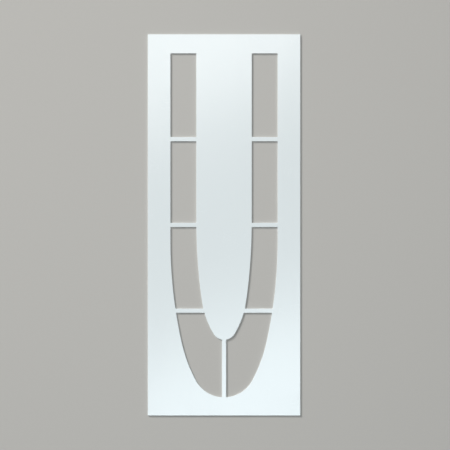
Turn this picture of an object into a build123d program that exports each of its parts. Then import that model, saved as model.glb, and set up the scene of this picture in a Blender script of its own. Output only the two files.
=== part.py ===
from build123d import *
import math
import os

# A road marking stencil: one flat sheet of white polyethylene with an elongated capital U cut through it.
# Paint is sprayed or rolled through the eight windows onto the road. Narrow bridges, cut from the same
# sheet, tie the tongue between the legs to the border.
#
# The sheet lies on the road. +X runs across the letter, +Y up the letter and +Z up from the road.
# The origin is the middle of the sheet's underside. Lengths are in millimetres and angles in degrees.

INCH = 25.4

# The letter, from its baseline to the top of its legs
letter_height = 36.0 * INCH
letter_width = 11.25 * INCH
leg_width = 2.71875 * INCH

# The bowl under the legs. Its lowest point dips a little under the baseline, as round letters do.
bowl_overshoot = 0.09375 * INCH
foot_thickness = 6.03125 * INCH

# The bowl's outer edge is three tangent arcs a side: one down the side, one round the shoulder, and
# one through the bottom, whose radius is what brings the edge level at the centre line.
outer_side_radius = 49.0 * INCH
outer_side_turn = 12.5
outer_shoulder_radius = 16.0 * INCH
outer_shoulder_turn = 15.5

# The tongue between the legs ends in the same way
tongue_side_radius = 60.0 * INCH
tongue_side_turn = 8.0
tongue_shoulder_radius = 9.25 * INCH
tongue_shoulder_turn = 23.0

# The border of the sheet around the letter
side_border = 2.375 * INCH
end_border = 2.0 * INCH
sheet_thickness = 0.125 * INCH

# The bridges: some across each leg, at even steps down the letter, and one through the foot
bridges_per_leg = 3
bridge_width = 0.4375 * INCH

# The cutter leaves its own radius in every inside corner, and the edges are scraped clean of burrs
cutter_radius = 0.0625 * INCH
edge_break = 0.3

sheet_width = letter_width + 2 * side_border
sheet_length = letter_height + 2 * end_border
sheet_top = sheet_length / 2
sheet_bottom = -sheet_length / 2
letter_top = sheet_top - end_border
baseline = sheet_bottom + end_border
bowl_bottom = baseline - bowl_overshoot
tongue_bottom = bowl_bottom + foot_thickness


def rounded_end(half_width, top, bottom, side_radius, side_turn, shoulder_radius, shoulder_turn):
    """A face with a flat top, straight sides and a rounded lower end of five tangent arcs."""
    side = math.radians(side_turn)
    shoulder = math.radians(side_turn + shoulder_turn)
    side_inset = side_radius * (1 - math.cos(side))
    shoulder_inset = shoulder_radius * (math.cos(side) - math.cos(shoulder))
    bottom_radius = (half_width - side_inset - shoulder_inset) / math.cos(shoulder)
    side_drop = side_radius * math.sin(side)
    shoulder_drop = shoulder_radius * (math.sin(shoulder) - math.sin(side))
    bottom_drop = bottom_radius * (1 - math.sin(shoulder))
    arc_top = bottom + side_drop + shoulder_drop + bottom_drop

    straight = Line((half_width, top), (half_width, arc_top))
    side_arc = JernArc(straight @ 1, (0, -1), side_radius, -side_turn)
    shoulder_arc = JernArc(side_arc @ 1, side_arc % 1, shoulder_radius, -shoulder_turn)
    bottom_turn = 2 * (90 - side_turn - shoulder_turn)
    bottom_arc = JernArc(shoulder_arc @ 1, shoulder_arc % 1, bottom_radius, -bottom_turn)
    right = straight + side_arc + shoulder_arc
    left = mirror(right, Plane.YZ)
    flat_top = Line((-half_width, top), (half_width, top))
    return make_face(right.edges() + bottom_arc.edges() + left.edges() + flat_top.edges())


def letter_outline():
    """The whole letter, as it is painted on the road."""
    outside = rounded_end(letter_width / 2, letter_top, bowl_bottom,
                          outer_side_radius, outer_side_turn,
                          outer_shoulder_radius, outer_shoulder_turn)
    tongue = rounded_end(letter_width / 2 - leg_width, sheet_top, tongue_bottom,
                         tongue_side_radius, tongue_side_turn,
                         tongue_shoulder_radius, tongue_shoulder_turn)
    return outside - tongue


def bridges():
    """The strips that stay across the legs and through the foot."""
    step = letter_height / (bridges_per_leg + 1)
    across = [Pos(0, letter_top - step * (n + 1)) * Rectangle(letter_width, bridge_width)
              for n in range(bridges_per_leg)]
    foot_bridge_height = foot_thickness + bridge_width
    through_foot = (Pos(0, bowl_bottom) * Rectangle(bridge_width, foot_bridge_height,
                                                    align=(Align.CENTER, Align.MIN)))
    return across + [through_foot]


def as_cut(window):
    """A window with the cutter's radius in its corners: the path of the cutter's centre, widened again."""
    cutter_path = offset(window, -cutter_radius)
    return offset(cutter_path, cutter_radius)


def stencil_sheet():
    """The sheet with its eight windows and its scraped edges."""
    windows = (letter_outline() - bridges()).faces()
    flat = Rectangle(sheet_width, sheet_length) - [as_cut(window) for window in windows]
    sheet = extrude(flat, sheet_thickness)
    rims = sheet.faces().sort_by(Axis.Z)
    return chamfer(rims[0].edges() + rims[-1].edges(), edge_break)


os.makedirs("parts", exist_ok=True)
export_step(stencil_sheet(), "parts/stencil_sheet.step")
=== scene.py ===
"""How a white polyethylene stencil sheet looks, which paints an elongated capital U on a road.

The sheet is one piece: an extruded sheet through which a router has cut eight windows. It lies on
a pale floor in soft studio light, and the camera looks straight down on it. The frame is the
sheet's own: +X across the letter, +Y up the letter and +Z up from the floor, with the origin in
the middle of the underside. Lengths are in metres and angles in degrees, unless a name says
otherwise.
"""

import logging
import math
from dataclasses import dataclass
from enum import Enum, IntEnum
from typing import Iterator, Sequence, Union

import bmesh
import bpy
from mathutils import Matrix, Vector
from mathutils.geometry import delaunay_2d_cdt
from mathutils.kdtree import KDTree


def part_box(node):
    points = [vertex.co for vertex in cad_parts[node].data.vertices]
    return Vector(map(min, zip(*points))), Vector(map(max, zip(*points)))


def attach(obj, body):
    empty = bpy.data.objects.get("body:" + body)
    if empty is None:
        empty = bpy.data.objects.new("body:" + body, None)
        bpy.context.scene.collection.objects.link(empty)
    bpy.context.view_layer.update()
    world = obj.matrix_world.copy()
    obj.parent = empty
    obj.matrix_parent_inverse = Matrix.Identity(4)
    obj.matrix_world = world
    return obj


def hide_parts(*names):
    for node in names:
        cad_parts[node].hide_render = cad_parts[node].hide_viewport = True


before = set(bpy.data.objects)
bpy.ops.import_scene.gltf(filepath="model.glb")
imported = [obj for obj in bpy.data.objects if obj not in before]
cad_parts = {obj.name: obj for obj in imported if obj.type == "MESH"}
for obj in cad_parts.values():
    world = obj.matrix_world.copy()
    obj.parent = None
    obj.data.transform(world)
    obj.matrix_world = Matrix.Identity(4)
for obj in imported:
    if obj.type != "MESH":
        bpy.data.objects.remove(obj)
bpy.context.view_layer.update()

CAD_NODE = "stencil_sheet"
BODY = "root"
CUT_RUN = "cut_run"

INCH = 0.0254
MM = 0.001
MICRON = 0.000001
FULL_TURN = 2 * math.pi

Colour = tuple[float, float, float]
Band = tuple[float, float]
Extent = Union[float, tuple[float, float]]
Number = Union[float, "Value"]
Socket = Union[str, int]
Row = list[bmesh.types.BMVert]

WHITE: Colour = (1.0, 1.0, 1.0)

log = logging.getLogger("stencil")


class Skin(IntEnum):
    """The skins of the sheet, in the order of its material slots."""

    EXTRUDED = 0
    ROUTED = 1
    SCRAPED = 2


class Side(Enum):
    """The two halves of the letter."""

    LEFT = "left"
    RIGHT = "right"


class Sight(Enum):
    """The kinds of ray that look at the surroundings, as Light Path names them."""

    CAMERA = "Is Camera Ray"
    GLOSSY = "Is Glossy Ray"
    THROUGH = "Is Transmission Ray"


@dataclass(frozen=True)
class Value:
    """What a shader works out at each point, with the usual arithmetic for numbers."""

    nodes: "NodeMaker"
    socket: bpy.types.NodeSocket

    def __add__(self, other: Number) -> "Value":
        """The sum."""
        return self.nodes.maths("ADD", self, other)

    def __radd__(self, other: Number) -> "Value":
        """The sum, with the plain number first."""
        return self.nodes.maths("ADD", other, self)

    def __sub__(self, other: Number) -> "Value":
        """The difference."""
        return self.nodes.maths("SUBTRACT", self, other)

    def __rsub__(self, other: Number) -> "Value":
        """The difference, with the plain number first."""
        return self.nodes.maths("SUBTRACT", other, self)

    def __mul__(self, other: Number) -> "Value":
        """The product."""
        return self.nodes.maths("MULTIPLY", self, other)

    def __rmul__(self, other: Number) -> "Value":
        """The product, with the plain number first."""
        return self.nodes.maths("MULTIPLY", other, self)


class NodeMaker:
    """Writes one node tree, of a material or of the world."""

    def __init__(self, tree: bpy.types.NodeTree) -> None:
        """Takes the tree and empties it."""
        self.tree = tree
        self.tree.nodes.clear()

    def node(
        self, kind: str, settings: dict[str, object], inputs: dict[Socket, object]
    ) -> bpy.types.Node:
        """Adds any node.

        Args:
            kind: The node's type.
            settings: The node's own settings, which are set first.
            inputs: A plain value or a Value for each input that doesn't stay as it is.

        Returns:
            The node.
        """
        node = self.tree.nodes.new(kind)
        for name, setting in settings.items():
            setattr(node, name, setting)
        for name, given in inputs.items():
            if isinstance(given, Value):
                self.tree.links.new(given.socket, node.inputs[name])
            else:
                node.inputs[name].default_value = given
        return node

    def add(
        self, kind: str, inputs: dict[Socket, object], output: Socket = 0, **settings: object
    ) -> Value:
        """Adds any node in the same way, and takes one of its outputs."""
        return Value(self, self.node(kind, settings, inputs).outputs[output])

    def maths(self, operation: str, *numbers: Number) -> Value:
        """Adds a Math node that works on the numbers."""
        return self.add("ShaderNodeMath", dict(enumerate(numbers)), operation=operation)

    def place(self) -> Value:
        """The point on the piece, in metres."""
        return self.add("ShaderNodeTexCoord", {}, "Object")

    def noise(self, size: Extent, detail: float = 2.0, turn: float = 0.0) -> Value:
        """Cloudy noise from 0 to 1.

        Args:
            size: The clouds' size, or else their length along their own X and Y.
            detail: How many finer layers they have.
            turn: How far their X is turned from the sheet's.

        Returns:
            The noise.
        """
        lengths = (size, size, size) if isinstance(size, float) else (*size, 1.0)
        rotation = (0.0, 0.0, math.radians(turn))
        inputs = {"Vector": self.place(), "Rotation": rotation, "Scale": lengths}
        point = self.add("ShaderNodeMapping", inputs, vector_type="TEXTURE")
        return self.add("ShaderNodeTexNoise", {"Vector": point, "Scale": 1.0, "Detail": detail})

    def step(self, value: Number, band: Band) -> Value:
        """A smooth step, from 0 where the value is at the band's start to 1 at its end."""
        inputs = {"Value": value, "From Min": band[0], "From Max": band[1]}
        return self.add("ShaderNodeMapRange", inputs, interpolation_type="SMOOTHSTEP")

    def mix(self, share: Number, first: Colour, second: Colour) -> Value:
        """A mix of two colours.

        Args:
            share: 0 gives the first colour and 1 the second.
            first: The first colour.
            second: The second colour.

        Returns:
            The mixed colour.
        """
        share_input, first_input, second_input, colour_output = 0, 6, 7, 2
        inputs = {share_input: share, first_input: (*first, 1.0), second_input: (*second, 1.0)}
        return self.add("ShaderNodeMix", inputs, colour_output, data_type="RGBA")


def swing(noise: Value) -> Value:
    """The noise moved so that its middle is at 0."""
    return noise - 0.5


@dataclass(frozen=True)
class Polyethylene:
    """White low-density polyethylene: milky, and a little cold in tone."""

    colour: Colour = (0.755, 0.806, 0.818)
    cloudy_colour: Colour = (0.738, 0.791, 0.806)
    refraction: float = 1.51
    glow: float = 0.12
    glow_depth: float = 1.2 * MM

    def start(self, name: str) -> tuple[bpy.types.Material, NodeMaker]:
        """Starts a material.

        Args:
            name: The material's name.

        Returns:
            The material and what writes its nodes.
        """
        material = bpy.data.materials.new(name)
        material.use_nodes = True
        return material, NodeMaker(material.node_tree)

    def finish(self, nodes: NodeMaker, colour: Value, roughness: Value, height: Value) -> None:
        """Adds the shader and the output.

        Args:
            nodes: What writes the material's nodes.
            colour: The colour at each point.
            roughness: The roughness at each point.
            height: The relief at each point, in metres.
        """
        relief = nodes.add("ShaderNodeBump", {"Height": height, "Distance": 1.0}, output="Normal")
        shader = nodes.add(
            "ShaderNodeBsdfPrincipled",
            {
                "Base Color": colour,
                "Roughness": roughness,
                "Normal": relief,
                "IOR": self.refraction,
                "Subsurface Weight": self.glow,
                "Subsurface Scale": self.glow_depth,
                "Subsurface Radius": (1.0, 1.0, 1.0),
            },
        )
        nodes.node("ShaderNodeOutputMaterial", {}, {"Surface": shader})


@dataclass(frozen=True)
class Scuffs:
    """Fine scuffs in a few directions, in the places where the sheet has been slid about."""

    size: tuple[float, float] = (70 * MM, 1.4 * MM)
    turns: tuple[float, ...] = (8.0, -31.0, 74.0)
    shown: Band = (0.62, 0.72)
    strength: float = 0.5
    worn_size: float = 90 * MM
    worn: Band = (0.50, 0.66)

    def amount(self, nodes: NodeMaker) -> Value:
        """How scuffed the sheet is.

        Args:
            nodes: What writes the material's nodes.

        Returns:
            How scuffed each point is, from 0 upwards.
        """
        noises = (nodes.noise(self.size, detail=1.0, turn=turn) for turn in self.turns)
        lines = (nodes.step(noise, self.shown) for noise in noises)
        worn = nodes.step(nodes.noise(self.worn_size, detail=3.0), self.worn)
        return sum(lines) * worn * self.strength


@dataclass(frozen=True)
class ExtrudedSkin:
    """The two faces: satin, with a fine grain, lines drawn out along the sheet and a few scuffs."""

    plastic: Polyethylene = Polyethylene()
    scuffs: Scuffs = Scuffs()
    roughness: float = 0.215
    grain_size: float = 0.75 * MM
    grain_height: float = 16 * MICRON
    grain_roughness: float = 0.06
    line_size: tuple[float, float] = (4 * MM, 300 * MM)
    line_height: float = 1.5 * MICRON
    line_roughness: float = 0.03
    line_cloudiness: float = 0.3
    wave_size: tuple[float, float] = (250 * MM, 400 * MM)
    wave_height: float = 250 * MICRON
    cloud_size: float = 170 * MM
    cloud_cloudiness: float = 0.7
    scuff_depth: float = 12 * MICRON
    scuff_roughness: float = 0.2

    def material(self) -> bpy.types.Material:
        """Makes the finish.

        Returns:
            The material.
        """
        material, nodes = self.plastic.start("extruded_polyethylene")
        grain = nodes.noise(self.grain_size)
        lines = nodes.noise(self.line_size, detail=3.0)
        waves = nodes.noise(self.wave_size, detail=1.0)
        clouds = nodes.noise(self.cloud_size, detail=4.0)
        scuffs = self.scuffs.amount(nodes)
        cloudiness = clouds * self.cloud_cloudiness + lines * self.line_cloudiness
        colour = nodes.mix(cloudiness, self.plastic.colour, self.plastic.cloudy_colour)
        roughness = (
            self.roughness
            + swing(lines) * self.line_roughness
            + swing(grain) * self.grain_roughness
            + scuffs * self.scuff_roughness
        )
        height = (
            grain * self.grain_height
            + lines * self.line_height
            + waves * self.wave_height
            - scuffs * self.scuff_depth
        )
        self.plastic.finish(nodes, colour, roughness, height)
        return material


@dataclass(frozen=True)
class ToolMarks:
    """A tool's marks: ridges side by side along the cut, a little uneven."""

    pitch: float
    wander_size: float = 6 * MM

    def ridges(self, nodes: NodeMaker) -> Value:
        """The ridges.

        Args:
            nodes: What writes the material's nodes.

        Returns:
            Their height, from 0 to 1.
        """
        run = nodes.add("ShaderNodeAttribute", {}, "Fac", attribute_name=CUT_RUN)
        phase = run * (FULL_TURN / self.pitch) + nodes.noise(self.wander_size) * FULL_TURN
        return nodes.maths("SINE", phase) * 0.5 + 0.5


@dataclass(frozen=True)
class RoutedSkin:
    """The cut walls: the marks that the turning cutter left, with a little fuzz."""

    plastic: Polyethylene = Polyethylene()
    marks: ToolMarks = ToolMarks(pitch=0.9 * MM)
    colour: Colour = (0.75, 0.796, 0.806)
    roughness: float = 0.5
    mark_height: float = 22 * MICRON
    mark_roughness: float = 0.08
    mark_share: float = 0.35
    fuzz_size: float = 0.4 * MM
    fuzz_height: float = 10 * MICRON
    fuzz_roughness: float = 0.1
    fuzz_share: float = 0.4

    def material(self) -> bpy.types.Material:
        """Makes the finish.

        Returns:
            The material.
        """
        material, nodes = self.plastic.start("routed_polyethylene")
        marks = self.marks.ridges(nodes)
        fuzz = nodes.noise(self.fuzz_size)
        share = marks * self.mark_share + fuzz * self.fuzz_share
        colour = nodes.mix(share, self.colour, self.plastic.cloudy_colour)
        roughness = (
            self.roughness
            + swing(marks) * self.mark_roughness
            + swing(fuzz) * self.fuzz_roughness
        )
        height = marks * self.mark_height + fuzz * self.fuzz_height
        self.plastic.finish(nodes, colour, roughness, height)
        return material


@dataclass(frozen=True)
class ScrapedSkin:
    """The broken edges: whitened by the scraper, with its chatter and small nicks along them."""

    plastic: Polyethylene = Polyethylene()
    chatter: ToolMarks = ToolMarks(pitch=2.1 * MM)
    colour: Colour = (0.79, 0.832, 0.842)
    roughness: float = 0.46
    chatter_height: float = 8 * MICRON
    chatter_roughness: float = 0.1
    chatter_share: float = 0.2
    nick_size: float = 2.4 * MM
    nick_depth: float = 18 * MICRON
    nick_roughness: float = 0.12
    nick_share: float = 0.6
    nicked: Band = (0.56, 0.70)

    def material(self) -> bpy.types.Material:
        """Makes the finish.

        Returns:
            The material.
        """
        material, nodes = self.plastic.start("scraped_polyethylene")
        chatter = self.chatter.ridges(nodes)
        nicks = nodes.step(nodes.noise(self.nick_size, detail=3.0), self.nicked)
        share = nicks * self.nick_share + chatter * self.chatter_share
        colour = nodes.mix(share, self.colour, self.plastic.colour)
        roughness = (
            self.roughness
            + swing(chatter) * self.chatter_roughness
            + nicks * self.nick_roughness
        )
        height = chatter * self.chatter_height - nicks * self.nick_depth
        self.plastic.finish(nodes, colour, roughness, height)
        return material


def heading(angle: float) -> Vector:
    """The outward normal of a rounded end's right-hand edge: its side is at 0, its bottom at 90."""
    return Vector((math.cos(math.radians(angle)), -math.sin(math.radians(angle))))


def turned(spoke: Vector, angle: float) -> Vector:
    """The flat vector turned anticlockwise by an angle in radians."""
    cosine, sine = math.cos(angle), math.sin(angle)
    return Vector((spoke.x * cosine - spoke.y * sine, spoke.x * sine + spoke.y * cosine))


def turn_between(before: Vector, after: Vector) -> float:
    """How far a line turns to the left from one direction to the next, in radians."""
    return math.atan2(before.cross(after), before.dot(after))


@dataclass(frozen=True)
class EndCurve:
    """The rounded lower end of an upright strip: arcs down its sides, shoulders and bottom.

    All five arcs are tangent, and the radius of the lowest brings the edge level in the middle.
    """

    side_radius: float
    side_turn: float
    shoulder_radius: float
    shoulder_turn: float
    chord: float = 2.5 * MM

    def arcs(self, half_width: float) -> list[tuple[float, float, float]]:
        """The right-hand arcs.

        Args:
            half_width: Half the strip's width.

        Returns:
            From the top down, each arc's radius and the angles where it starts and ends.
        """
        side, shoulder = self.side_turn, self.side_turn + self.shoulder_turn
        side_inset = self.side_radius * (1 - heading(side).x)
        shoulder_inset = self.shoulder_radius * (heading(side).x - heading(shoulder).x)
        lowest_radius = (half_width - side_inset - shoulder_inset) / heading(shoulder).x
        return [
            (self.side_radius, 0.0, side),
            (self.shoulder_radius, side, shoulder),
            (lowest_radius, shoulder, 90.0),
        ]

    def right_edge(self, half_width: float, top: float, bottom: float) -> list[Vector]:
        """The right-hand edge of the strip.

        Args:
            half_width: Half the strip's width.
            top: The height to start from.
            bottom: The strip's lowest point.

        Returns:
            Points from the top to the middle of the bottom.
        """
        arcs = self.arcs(half_width)
        drop = sum(radius * (heading(start).y - heading(end).y) for radius, start, end in arcs)
        points = [Vector((half_width, top)), Vector((half_width, bottom + drop))]
        for radius, start, end in arcs:
            centre = points[-1] - radius * heading(start)
            steps = math.ceil(radius * math.radians(end - start) / self.chord)
            turn = (end - start) / steps
            points += [centre + radius * heading(start + turn * n) for n in range(1, steps + 1)]
        return points


@dataclass(frozen=True)
class Cut:
    """A straight cut across a line: where its X or its Y has a certain value."""

    axis: int
    value: float

    def meets(self, line: Sequence[Vector]) -> tuple[int, Vector]:
        """Where the cut meets a line that runs down or inwards.

        Args:
            line: The line's points.

        Returns:
            How many of the points lie before the cut, and the point on it.
        """
        for n, (start, end) in enumerate(zip(line, line[1:]), 1):
            high, low = start[self.axis], end[self.axis]
            if high >= self.value > low:
                return n, start.lerp(end, (high - self.value) / (high - low))
        raise ValueError(f"the line never reaches {self.value} on axis {self.axis}")


def between(line: Sequence[Vector], first: Cut, last: Cut) -> list[Vector]:
    """The stretch of a line between two cuts.

    Args:
        line: The line's points.
        first: The cut where the stretch starts.
        last: The cut where it ends.

    Returns:
        The stretch's points.
    """
    skipped, start = first.meets(line)
    reached, end = last.meets(line)
    return [start, *line[skipped:reached], end]


def shortened(line: Sequence[Vector], length: float) -> list[Vector]:
    """A line without its first stretch.

    Args:
        line: The line's points.
        length: How much of it is taken off.

    Returns:
        The points that are left.
    """
    for n, (start, end) in enumerate(zip(line, line[1:]), 1):
        run = (end - start).length
        if run > length:
            return [start.lerp(end, length / run), *line[n:]]
        length -= run
    raise ValueError("the line is shorter than what is taken off")


def evened(line: Sequence[Vector], step: float) -> list[Vector]:
    """A line with points added on its long runs.

    Args:
        line: The line's points.
        step: The longest run that is left.

    Returns:
        The points of the same line.
    """
    even = [line[0]]
    for start, end in zip(line, line[1:]):
        count = math.ceil((end - start).length / step)
        even += [start.lerp(end, n / count) for n in range(1, count + 1)]
    return even


@dataclass(frozen=True)
class Ring:
    """A closed line along an edge of the sheet, anticlockwise seen from above."""

    points: tuple[Vector, ...]

    @classmethod
    def rounded(
        cls, sides: Sequence[Sequence[Vector]], radius: float, step: float, turn_step: float
    ) -> "Ring":
        """A ring of sides that meet in rounded corners.

        Args:
            sides: The sides in order, each from one corner to the next.
            radius: The corners' radius.
            step: The longest run between two points.
            turn_step: The most that a corner turns between two points.

        Returns:
            The ring.
        """
        turns = [
            turn_between(side[-1] - side[-2], after[1] - after[0])
            for side, after in zip(sides, [*sides[1:], sides[0]])
        ]
        points: list[Vector] = []
        for side, turn_before, turn in zip(sides, [turns[-1], *turns[:-1]], turns):
            line = shortened(side, radius * math.tan(turn_before / 2))
            line = shortened(line[::-1], radius * math.tan(turn / 2))[::-1]
            line = evened(line, step)
            centre = line[-1] + radius * (line[-1] - line[-2]).normalized().orthogonal()
            spoke = line[-1] - centre
            count = math.ceil(turn / math.radians(turn_step))
            points += line
            points += [centre + turned(spoke, turn * n / count) for n in range(1, count)]
        return cls(tuple(points))

    def grown(self, distance: float) -> "Ring":
        """The ring moved outwards.

        Args:
            distance: How far, or less than 0 to move it inwards.

        Returns:
            The moved ring, point for point.
        """
        moved = []
        for before, point, after in self.neighbours():
            inward_before = (point - before).normalized().orthogonal()
            inward_after = (after - point).normalized().orthogonal()
            inward = (inward_before + inward_after).normalized()
            moved.append(point - inward * distance / inward.dot(inward_after))
        return Ring(tuple(moved))

    def mirrored(self) -> "Ring":
        """The ring on the other half of the sheet."""
        return Ring(tuple(Vector((-point.x, point.y)) for point in reversed(self.points)))

    def neighbours(self) -> Iterator[tuple[Vector, Vector, Vector]]:
        """Each point, between the one before and the one after."""
        points = self.points
        return zip([points[-1], *points[:-1]], points, [*points[1:], points[0]])

    def runs(self) -> list[float]:
        """Measures along the ring.

        Returns:
            How far along it each point lies, and last its whole length.
        """
        lengths = [0.0]
        for _, point, after in self.neighbours():
            lengths.append(lengths[-1] + (after - point).length)
        return lengths


@dataclass(frozen=True)
class Letter:
    """The elongated capital U, which the bridges leave as eight windows."""

    top: float
    height: float = 36.0 * INCH
    width: float = 11.25 * INCH
    leg_width: float = 2.71875 * INCH
    bowl_overshoot: float = 0.09375 * INCH
    foot_thickness: float = 6.03125 * INCH
    outer_curve: EndCurve = EndCurve(
        side_radius=49.0 * INCH, side_turn=12.5, shoulder_radius=16.0 * INCH, shoulder_turn=15.5
    )
    tongue_curve: EndCurve = EndCurve(
        side_radius=60.0 * INCH, side_turn=8.0, shoulder_radius=9.25 * INCH, shoulder_turn=23.0
    )
    bridges_per_leg: int = 3
    bridge_width: float = 0.4375 * INCH
    cutter_radius: float = 0.0625 * INCH
    step: float = 8 * MM
    turn_step: float = 11.25

    def right_windows(self) -> list[Ring]:
        """The windows of the right-hand half.

        Returns:
            The windows' edges, from the top down.
        """
        above = self.top + self.bridge_width
        bowl_bottom = self.top - self.height - self.bowl_overshoot
        outer = self.outer_curve.right_edge(self.width / 2, above, bowl_bottom)
        tongue_bottom = bowl_bottom + self.foot_thickness
        tongue_half = self.width / 2 - self.leg_width
        tongue = self.tongue_curve.right_edge(tongue_half, above, tongue_bottom)
        across, down = 0, 1
        half_bridge = self.bridge_width / 2
        pitch = self.height / (self.bridges_per_leg + 1)
        bridges = [self.top - pitch * (n + 1) for n in range(self.bridges_per_leg)]
        starts = [Cut(down, self.top), *(Cut(down, bridge - half_bridge) for bridge in bridges)]
        ends = [*(Cut(down, bridge + half_bridge) for bridge in bridges), Cut(across, half_bridge)]
        windows = []
        for start, end in zip(starts, ends):
            outer_side = between(outer, start, end)[::-1]
            tongue_side = between(tongue, start, end)
            upper_side = [outer_side[-1], tongue_side[0]]
            lower_side = [tongue_side[-1], outer_side[0]]
            sides = [outer_side, upper_side, tongue_side, lower_side]
            windows.append(Ring.rounded(sides, self.cutter_radius, self.step, self.turn_step))
        return windows

    def windows(self, side: Side) -> list[Ring]:
        """The windows of one half, from the top down."""
        windows = self.right_windows()
        return windows if side is Side.RIGHT else [window.mirrored() for window in windows]


@dataclass
class StencilSheet:
    """The whole stencil: one sheet with eight windows, its edges broken all round."""

    low: Vector
    high: Vector
    end_border: float = 2.0 * INCH
    edge_radius: float = 0.3 * MM
    edge_steps: int = 4
    edge_support: float = 0.22 * MM
    corner_radius: float = 0.9 * MM
    step: float = 8 * MM
    turn_step: float = 11.25
    face_cell: float = 12 * MM
    name: str = "white_sheet"
    extruded_skin: ExtrudedSkin = ExtrudedSkin()
    routed_skin: RoutedSkin = RoutedSkin()
    scraped_skin: ScrapedSkin = ScrapedSkin()

    def rim(self) -> Ring:
        """The sheet's outer edge.

        Returns:
            The edge, from its bottom right corner.
        """
        left, right, bottom, top = self.low.x, self.high.x, self.low.y, self.high.y
        places = ((right, bottom), (right, top), (left, top), (left, bottom))
        corners = [Vector(place) for place in places]
        sides = list(zip(corners, [*corners[1:], corners[0]]))
        return Ring.rounded(sides, self.corner_radius, self.step, self.turn_step)

    def windows(self) -> list[Ring]:
        """All the windows."""
        letter = Letter(self.high.y - self.end_border)
        return [window for side in Side for window in letter.windows(side)]

    def edge_section(self) -> list[tuple[float, float]]:
        """The edge's section.

        Returns:
            Distances into the sheet and heights, from the upper face to the lower.
        """
        radius, top, bottom = self.edge_radius, self.high.z, self.low.z
        upper = [(radius + self.edge_support, top)]
        for n in range(self.edge_steps + 1):
            angle = math.radians(90 * n / self.edge_steps)
            upper.append((radius * (1 - math.sin(angle)), top - radius * (1 - math.cos(angle))))
        upper.append((0.0, top - radius - self.edge_support))
        lower = [(inset, top + bottom - height) for inset, height in reversed(upper)]
        return upper + lower

    def edge_skins(self) -> list[Skin]:
        """The skin of each strip round an edge, from the upper face to the lower."""
        upper = [Skin.EXTRUDED, *[Skin.SCRAPED] * self.edge_steps, Skin.ROUTED]
        return [*upper, Skin.ROUTED, *reversed(upper)]

    def wrap(self, mesh: bmesh.types.BMesh, ring: Ring, into_sheet: int) -> tuple[Row, Row]:
        """Builds the strips round one edge.

        Args:
            mesh: The mesh to build in.
            ring: The edge.
            into_sheet: 1 where the sheet lies outside the ring, and -1 where it lies inside.

        Returns:
            The highest and the lowest row of vertices.
        """
        run_layer = mesh.loops.layers.float[CUT_RUN]
        runs = ring.runs()
        count = len(ring.points)
        rows = []
        for inset, height in self.edge_section():
            row = ring.grown(into_sheet * inset)
            rows.append([mesh.verts.new((*point, height)) for point in row.points])
        for upper, lower, skin in zip(rows, rows[1:], self.edge_skins()):
            for n in range(count):
                after = (n + 1) % count
                face = mesh.faces.new((upper[n], upper[after], lower[after], lower[n]))
                face.material_index = skin
                for loop, run in zip(face.loops, (runs[n], runs[n + 1], runs[n + 1], runs[n])):
                    loop[run_layer] = run
        return rows[0], rows[-1]

    def inner_places(self, edges: Sequence[Vector]) -> list[Vector]:
        """Evenly spaced places over the sheet, clear of its edges.

        Args:
            edges: The points along the edges.

        Returns:
            The places, of which some lie in windows.
        """
        tree = KDTree(len(edges))
        for n, point in enumerate(edges):
            tree.insert(point.to_3d(), n)
        tree.balance()
        size = self.high - self.low
        across, along = math.ceil(size.x / self.face_cell), math.ceil(size.y / self.face_cell)
        places = [
            Vector((self.low.x + size.x * column / across, self.low.y + size.y * row / along))
            for row in range(1, along)
            for column in range(1, across)
        ]
        return [place for place in places if tree.find(place.to_3d())[2] > self.face_cell / 2]

    def fill(self, mesh: bmesh.types.BMesh, rows: Sequence[Row], height: float) -> None:
        """Fills one face of the sheet between its edges.

        Args:
            mesh: The mesh to build in.
            rows: The rows of vertices round the rim and then round each window.
            height: The face's height.
        """
        edge_vertices = [vertex for row in rows for vertex in row]
        places = [vertex.co.to_2d() for vertex in edge_vertices]
        places += self.inner_places(places)
        loops, first = [], 0
        for row in rows:
            loops.append(list(range(first, first + len(row))))
            first += len(row)
        rim, inside_loops, gap = 0, 1, 0.1 * MICRON
        made = delaunay_2d_cdt(places, [], loops, inside_loops, gap)
        points, _, triangles, origins, _, sources = made
        vertices: dict[int, bmesh.types.BMVert] = {}
        for triangle, source in zip(triangles, sources):
            in_a_window = source != [rim]
            if in_a_window:
                continue
            for n in triangle:
                origin = origins[n][0]
                if origin < len(edge_vertices):
                    vertices[n] = edge_vertices[origin]
                elif n not in vertices:
                    vertices[n] = mesh.verts.new((*points[n], height))
            mesh.faces.new([vertices[n] for n in triangle]).material_index = Skin.EXTRUDED

    def build(self) -> bpy.types.Object:
        """Builds the sheet's mesh.

        Returns:
            The bare piece.
        """
        mesh = bmesh.new()
        mesh.loops.layers.float.new(CUT_RUN)
        edges = [self.wrap(mesh, self.rim(), -1)]
        edges += [self.wrap(mesh, window, 1) for window in self.windows()]
        self.fill(mesh, [upper for upper, _ in edges], self.high.z)
        self.fill(mesh, [lower for _, lower in edges], self.low.z)
        bmesh.ops.recalc_face_normals(mesh, faces=mesh.faces[:])
        for face in mesh.faces:
            face.smooth = True
        data = bpy.data.meshes.new(self.name)
        mesh.to_mesh(data)
        mesh.free()
        piece = bpy.data.objects.new(self.name, data)
        bpy.context.scene.collection.objects.link(piece)
        return piece

    def dress(self, piece: bpy.types.Object) -> None:
        """Gives the piece its finishes.

        Args:
            piece: The bare piece.
        """
        finishes = {
            Skin.EXTRUDED: self.extruded_skin,
            Skin.ROUTED: self.routed_skin,
            Skin.SCRAPED: self.scraped_skin,
        }
        for skin in Skin:
            piece.data.materials.append(finishes[skin].material())


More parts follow.
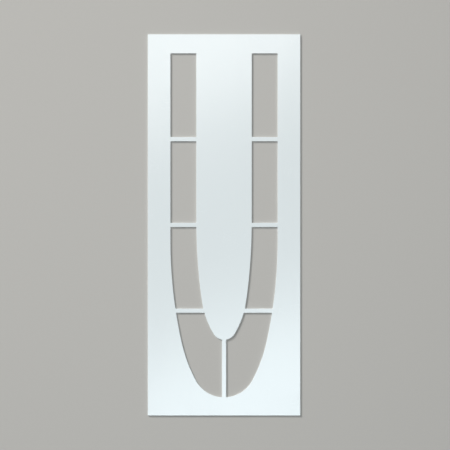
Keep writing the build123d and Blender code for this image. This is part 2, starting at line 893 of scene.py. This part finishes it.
@dataclass(frozen=True)
class SoftBox:
    """A soft lamp that shines at a point of the sheet."""

    name: str
    place: Vector
    aim: Vector
    width: float
    length: float
    watts: float
    colour: Colour
    shows_in_gloss: bool = True

    def build(self) -> bpy.types.Object:
        """Hangs the lamp.

        Returns:
            The lamp.
        """
        light = bpy.data.lights.new(self.name, "AREA")
        light.shape = "RECTANGLE"
        light.size, light.size_y = self.width, self.length
        light.energy = self.watts
        light.color = self.colour
        lamp = bpy.data.objects.new(self.name, light)
        bpy.context.scene.collection.objects.link(lamp)
        lamp.location = self.place
        lamp.rotation_euler = (self.aim - self.place).to_track_quat("-Z", "Y").to_euler()
        lamp.visible_camera = False
        lamp.visible_glossy = self.shows_in_gloss
        return lamp


@dataclass(frozen=True)
class Studio:
    """A plain pale floor, soft boxes and pale surroundings.

    The two boxes overhead hang beyond the sheet's ends and are turned to the same slant, so that
    their sheen fades towards its middle in slanted bands.
    """

    floor_half: float = 12.0
    floor_colour: Colour = (0.52, 0.505, 0.48)
    floor_mottle_colour: Colour = (0.505, 0.49, 0.465)
    mottle_size: float = 6 * MM
    floor_roughness: float = 0.9
    far_colour: Colour = (0.50, 0.485, 0.46)
    fade: Band = (0.8, 2.6)
    surround_light: float = 0.06
    slant: float = 22.0
    box_height: float = 4.0
    box_length: float = 0.8
    box_lean: float = 0.6

    def floor_material(self) -> bpy.types.Material:
        """Makes the floor matt, and ever paler to the camera far out, where the lamps don't reach.

        Returns:
            The material.
        """
        material = bpy.data.materials.new("pale_floor")
        material.use_nodes = True
        nodes = NodeMaker(material.node_tree)
        mottle = nodes.noise(self.mottle_size, detail=3.0)
        colour = nodes.mix(mottle, self.floor_colour, self.floor_mottle_colour)
        finish = {"Base Color": colour, "Roughness": self.floor_roughness}
        lit = nodes.add("ShaderNodeBsdfPrincipled", finish)
        place = {0: nodes.place()}
        distance = nodes.add("ShaderNodeVectorMath", place, "Value", operation="LENGTH")
        horizon = nodes.step(distance, (self.fade[1], self.floor_half))
        far = nodes.add("ShaderNodeEmission", {"Color": nodes.mix(horizon, self.far_colour, WHITE)})
        seen = nodes.add("ShaderNodeLightPath", {}, Sight.CAMERA.value)
        share, first_shader, second_shader = 0, 1, 2
        faded = nodes.step(distance, self.fade) * seen
        shaders = {share: faded, first_shader: lit, second_shader: far}
        shader = nodes.add("ShaderNodeMixShader", shaders)
        nodes.node("ShaderNodeOutputMaterial", {}, {"Surface": shader})
        return material

    def build_floor(self) -> bpy.types.Object:
        """Lays the floor.

        Returns:
            The floor.
        """
        half = self.floor_half
        corners = ((-half, -half, 0.0), (half, -half, 0.0), (half, half, 0.0), (-half, half, 0.0))
        data = bpy.data.meshes.new("floor")
        data.from_pydata(corners, [], [range(len(corners))])
        data.materials.append(self.floor_material())
        floor = bpy.data.objects.new("floor", data)
        bpy.context.scene.collection.objects.link(floor)
        return floor

    def build_surroundings(self) -> None:
        """Gives the surroundings an even light, and white where they are seen."""
        world = bpy.data.worlds.new("surroundings")
        world.use_nodes = True
        bpy.context.scene.world = world
        nodes = NodeMaker(world.node_tree)
        camera, glossy, through = (
            nodes.add("ShaderNodeLightPath", {}, sight.value) for sight in Sight
        )
        seen = nodes.maths("MAXIMUM", nodes.maths("MAXIMUM", camera, glossy), through)
        strength = self.surround_light + seen * (1 - self.surround_light)
        shader = nodes.add("ShaderNodeBackground", {"Color": (*WHITE, 1.0), "Strength": strength})
        nodes.node("ShaderNodeOutputWorld", {}, {"Surface": shader})

    def overhead_box(
        self, name: str, above: tuple[float, float], width: float, watts: float, colour: Colour
    ) -> SoftBox:
        """A soft box over one end of the sheet, turned to the slant.

        Args:
            name: The lamp's name.
            above: The X and Y that it hangs over.
            width: Its width along the slant.
            watts: Its power.
            colour: Its colour.

        Returns:
            The box, which isn't built yet.
        """
        slant = math.radians(self.slant)
        down_the_slant = Vector((math.sin(slant), -math.cos(slant), 0.0))
        lean = down_the_slant * math.copysign(self.box_lean, above[1])
        place = Vector((*above, self.box_height))
        aim = Vector((*above, 0.0)) + lean
        return SoftBox(name, place, aim, width, self.box_length, watts, colour)

    def lamps(self) -> list[SoftBox]:
        """The soft boxes.

        Returns:
            A low one from the top left, which casts the shadows, and two overhead.
        """
        low_box = SoftBox(
            name="low_box",
            place=Vector((-7.8, 7.8, 4.9)),
            aim=Vector((0.0, 0.0, 0.0)),
            width=3.4,
            length=3.4,
            watts=1660.0,
            colour=(1.0, 0.99, 0.975),
            shows_in_gloss=False,
        )
        upper_box = self.overhead_box(
            "upper_box", above=(0.05, 1.15), width=1.7, watts=30.6, colour=(1.0, 0.995, 0.98)
        )
        lower_box = self.overhead_box(
            "lower_box", above=(0.10, -1.0), width=1.9, watts=43.0, colour=(0.84, 0.95, 1.0)
        )
        return [low_box, upper_box, lower_box]

    def build(self) -> None:
        """Sets up the whole studio."""
        self.build_floor()
        self.build_surroundings()
        for lamp in self.lamps():
            lamp.build()
        bpy.context.scene.view_settings.view_transform = "Standard"


@dataclass(frozen=True)
class PhotoCamera:
    """The photograph's camera: straight above the sheet, upright, and far off behind a long lens.

    The sheet's place in the picture is given in pixels from the picture's top left corner.
    """

    picture_side_px: float = 450.0
    sheet_left_px: float = 147.85
    sheet_right_px: float = 300.25
    sheet_top_px: float = 34.3
    sheet_bottom_px: float = 415.52
    lens_mm: float = 120.0
    sensor_mm: float = 36.0

    def build(self, low: Vector, high: Vector) -> bpy.types.Object:
        """Sets up the camera.

        Args:
            low: The sheet's lowest corner.
            high: The sheet's highest corner.

        Returns:
            The camera.
        """
        metres_per_px = (high.y - low.y) / (self.sheet_bottom_px - self.sheet_top_px)
        middle_px = self.picture_side_px / 2
        right_px = middle_px - (self.sheet_left_px + self.sheet_right_px) / 2
        up_px = (self.sheet_top_px + self.sheet_bottom_px) / 2 - middle_px
        distance = self.picture_side_px * metres_per_px * self.lens_mm / self.sensor_mm
        data = bpy.data.cameras.new("photo_camera")
        data.lens, data.sensor_width = self.lens_mm, self.sensor_mm
        camera = bpy.data.objects.new("photo_camera", data)
        bpy.context.scene.collection.objects.link(camera)
        middle = (low + high) / 2
        offset = Vector((right_px, up_px, 0.0)) * metres_per_px
        camera.location = Vector((middle.x, middle.y, high.z + distance)) + offset
        bpy.context.scene.camera = camera
        return camera


def main() -> None:
    """Builds the sheet, the studio and the camera."""
    logging.basicConfig(level=logging.INFO, format="%(message)s")
    low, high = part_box(CAD_NODE)
    sheet = StencilSheet(low, high)
    piece = sheet.build()
    sheet.dress(piece)
    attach(piece, BODY)
    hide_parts(CAD_NODE)
    mesh = piece.data
    log.info("%s: %d vertices, %d faces", piece.name, len(mesh.vertices), len(mesh.polygons))
    Studio().build()
    camera = PhotoCamera().build(low, high)
    log.info("%s: %.3f m above the floor", camera.name, camera.location.z)


if __name__ == "__main__":
    main()
